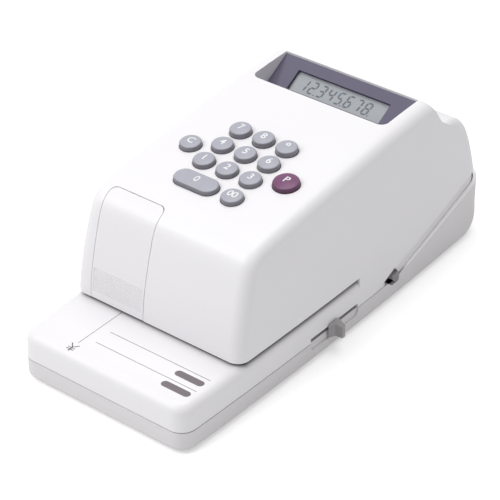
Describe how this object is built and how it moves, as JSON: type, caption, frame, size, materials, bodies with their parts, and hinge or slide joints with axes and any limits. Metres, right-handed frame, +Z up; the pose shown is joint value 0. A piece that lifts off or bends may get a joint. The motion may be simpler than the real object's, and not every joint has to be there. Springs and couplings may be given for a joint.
{
  "type": "check writer",
  "caption": "Desk check writer: a check slides into the throat under the printing head, and keys, a tilted display and a side lever set up and print the amount.",
  "frame": {"origin": "on the table, under the middle of the machine, at the plane of its five rubber feet", "axes": "+Z up, -Y toward the user and the check table, +X to the user's right, the side with the lever"},
  "size_m": [0.1331, 0.291, 0.1132],
  "materials": {
    "case_plastic": "fine satin, near white",
    "base_plastic": "fine satin, slightly greyer white",
    "inner_plastic": "dark grey moulding",
    "display_window": "tinted acrylic",
    "display_glass": "grey liquid-crystal glass",
    "key_plastic": "blue-grey satin with white legends",
    "print_key": "plum satin with a white legend",
    "key_rubber": "silicone sheet",
    "circuit_board": "green laminate",
    "screw_steel": "zinc plated",
    "grey_plastic": "grey satin",
    "switch_black": "black moulding",
    "foot_rubber": "soft dark rubber",
    "cell_wrap": "plain printed wrap",
    "contact_metal": "nickel plated spring strip",
    "unit_steel": "zinc plated sheet",
    "shaft_steel": "ground bar",
    "type_metal": "hardened, slightly inky",
    "gear_nylon": "natural nylon",
    "ink_foam": "inked felt",
    "roller_rubber": "ground rubber",
    "coil_tape": "taped copper winding",
    "motor_can": "drawn steel can"
  },
  "bodies": {
    "case": {"lower_case": "base_plastic", "upper_case": "case_plastic", "slot_plate": "inner_plastic", "display_lens": "display_window", "lcd_module": "display_glass", "key_mat": "key_rubber", "key_board": "circuit_board", "board_screws": "screw_steel", "main_board": "circuit_board", "main_screws": "screw_steel", "switch_body": "switch_black", "feet": "foot_rubber", "case_screws": "screw_steel", "plate_screws": "screw_steel", "battery_door": "base_plastic", "door_screw": "screw_steel", "cells": "cell_wrap", "battery_contacts": "contact_metal", "unit_frame": "unit_steel", "hammer_coil": "coil_tape", "wheel_motor": "motor_can", "feed_motor": "motor_can"},
    "cover": {"ink_cover": "case_plastic"},
    "wheel_train": {"wheel_shaft": "shaft_steel", "type_wheel": "type_metal", "wheel_gear": "gear_nylon"},
    "wheel_drive": {"wheel_pinion": "gear_nylon"},
    "ink": {"ink_core": "inner_plastic", "ink_roller": "ink_foam"},
    "feed_train": {"feed_shaft": "shaft_steel", "feed_roller": "roller_rubber", "feed_gear": "gear_nylon"},
    "feed_drive": {"feed_pinion": "gear_nylon"},
    "bracket": {"pressure_bracket": "unit_steel", "pressure_pin": "shaft_steel"},
    "press_roller": {"pressure_roller": "roller_rubber"},
    "hammer": {"hammer": "type_metal"},
    "lever": {"release_lever": "grey_plastic"},
    "power": {"power_knob": "grey_plastic"},
    "key_clear": {"key_clear": "key_plastic"},
    "key_1": {"key_1": "key_plastic"},
    "key_2": {"key_2": "key_plastic"},
    "key_3": {"key_3": "key_plastic"},
    "key_4": {"key_4": "key_plastic"},
    "key_5": {"key_5": "key_plastic"},
    "key_6": {"key_6": "key_plastic"},
    "key_7": {"key_7": "key_plastic"},
    "key_8": {"key_8": "key_plastic"},
    "key_9": {"key_9": "key_plastic"},
    "key_0": {"key_0": "key_plastic"},
    "key_00": {"key_00": "key_plastic"},
    "key_print": {"key_print": "print_key"}
  },
  "joints": [
    {"name": "wheel_motor_spin", "type": "hinge", "parent": "case", "child": "wheel_drive", "pos_m": [-0.01459, -0.03, 0.05418], "axis": [0, 1, 0], "continuous": true},
    {"name": "type_wheel_spin", "type": "hinge", "parent": "case", "child": "wheel_train", "pos_m": [-0.0257, -0.06, 0.0464], "axis": [0, 1, 0], "continuous": true},
    {"name": "ink_roller_spin", "type": "hinge", "parent": "case", "child": "ink", "pos_m": [-0.0257, -0.06, 0.0687], "axis": [0, 1, 0], "continuous": true},
    {"name": "feed_motor_spin", "type": "hinge", "parent": "case", "child": "feed_drive", "pos_m": [0.00872, -0.03, 0.0462], "axis": [0, 1, 0], "continuous": true},
    {"name": "feed_roller_spin", "type": "hinge", "parent": "case", "child": "feed_train", "pos_m": [0.0013, -0.06, 0.041], "axis": [0, 1, 0], "continuous": true},
    {"name": "pressure_roller_spin", "type": "hinge", "parent": "bracket", "child": "press_roller", "pos_m": [0.0013, -0.066, 0.0237], "axis": [0, 1, 0], "continuous": true},
    {"name": "ink_cover_hinge", "type": "hinge", "parent": "case", "child": "cover", "pos_m": [-0.02825, -0.07941, 0.09387], "axis": [-1, 0, 0], "range_deg": [0, 80]},
    {"name": "lever_slide", "type": "slide", "parent": "case", "child": "lever", "axis": [0, 1, 0], "range_m": [-0.016, 0.021]},
    {"name": "bracket_lift", "type": "slide", "parent": "case", "child": "bracket", "axis": [0, 0, 1], "range_m": [-0.00072, 0.00094]},
    {"name": "hammer_stroke", "type": "slide", "parent": "case", "child": "hammer", "axis": [0, 0, 1], "range_m": [0, 0.0008], "stiffness_N_per_m": 300, "springref_m": -0.0006},
    {"name": "power_slide", "type": "slide", "parent": "case", "child": "power", "axis": [0, 1, 0], "range_m": [-0.0036, 0]},
    {"name": "key_clear_press", "type": "slide", "parent": "case", "child": "key_clear", "axis": [0, 0.1271, -0.9919], "range_m": [0, 0.0015], "stiffness_N_per_m": 400, "springref_m": -0.0005},
    {"name": "key_1_press", "type": "slide", "parent": "case", "child": "key_1", "axis": [0, 0.1271, -0.9919], "range_m": [0, 0.0015], "stiffness_N_per_m": 400, "springref_m": -0.0005},
    {"name": "key_2_press", "type": "slide", "parent": "case", "child": "key_2", "axis": [0, 0.1271, -0.9919], "range_m": [0, 0.0015], "stiffness_N_per_m": 400, "springref_m": -0.0005},
    {"name": "key_3_press", "type": "slide", "parent": "case", "child": "key_3", "axis": [0, 0.1271, -0.9919], "range_m": [0, 0.0015], "stiffness_N_per_m": 400, "springref_m": -0.0005},
    {"name": "key_4_press", "type": "slide", "parent": "case", "child": "key_4", "axis": [0, 0.1271, -0.9919], "range_m": [0, 0.0015], "stiffness_N_per_m": 400, "springref_m": -0.0005},
    {"name": "key_5_press", "type": "slide", "parent": "case", "child": "key_5", "axis": [0, 0.1271, -0.9919], "range_m": [0, 0.0015], "stiffness_N_per_m": 400, "springref_m": -0.0005},
    {"name": "key_6_press", "type": "slide", "parent": "case", "child": "key_6", "axis": [0, 0.1271, -0.9919], "range_m": [0, 0.0015], "stiffness_N_per_m": 400, "springref_m": -0.0005},
    {"name": "key_7_press", "type": "slide", "parent": "case", "child": "key_7", "axis": [0, 0.1271, -0.9919], "range_m": [0, 0.0015], "stiffness_N_per_m": 400, "springref_m": -0.0005},
    {"name": "key_8_press", "type": "slide", "parent": "case", "child": "key_8", "axis": [0, 0.1271, -0.9919], "range_m": [0, 0.0015], "stiffness_N_per_m": 400, "springref_m": -0.0005},
    {"name": "key_9_press", "type": "slide", "parent": "case", "child": "key_9", "axis": [0, 0.1271, -0.9919], "range_m": [0, 0.0015], "stiffness_N_per_m": 400, "springref_m": -0.0005},
    {"name": "key_0_press", "type": "slide", "parent": "case", "child": "key_0", "axis": [0, 0.1271, -0.9919], "range_m": [0, 0.0015], "stiffness_N_per_m": 400, "springref_m": -0.0005},
    {"name": "key_00_press", "type": "slide", "parent": "case", "child": "key_00", "axis": [0, 0.1271, -0.9919], "range_m": [0, 0.0015], "stiffness_N_per_m": 400, "springref_m": -0.0005},
    {"name": "key_print_press", "type": "slide", "parent": "case", "child": "key_print", "axis": [0, 0.1271, -0.9919], "range_m": [0, 0.0015], "stiffness_N_per_m": 400, "springref_m": -0.0005}
  ],
  "couplings": [
    {"joint": "wheel_motor_spin", "follows": "type_wheel_spin", "ratio": -2},
    {"joint": "ink_roller_spin", "follows": "type_wheel_spin", "ratio": -1.75},
    {"joint": "feed_motor_spin", "follows": "feed_roller_spin", "ratio": -1},
    {"joint": "bracket_lift", "follows": "lever_slide", "ratio": 0.045}
  ]
}
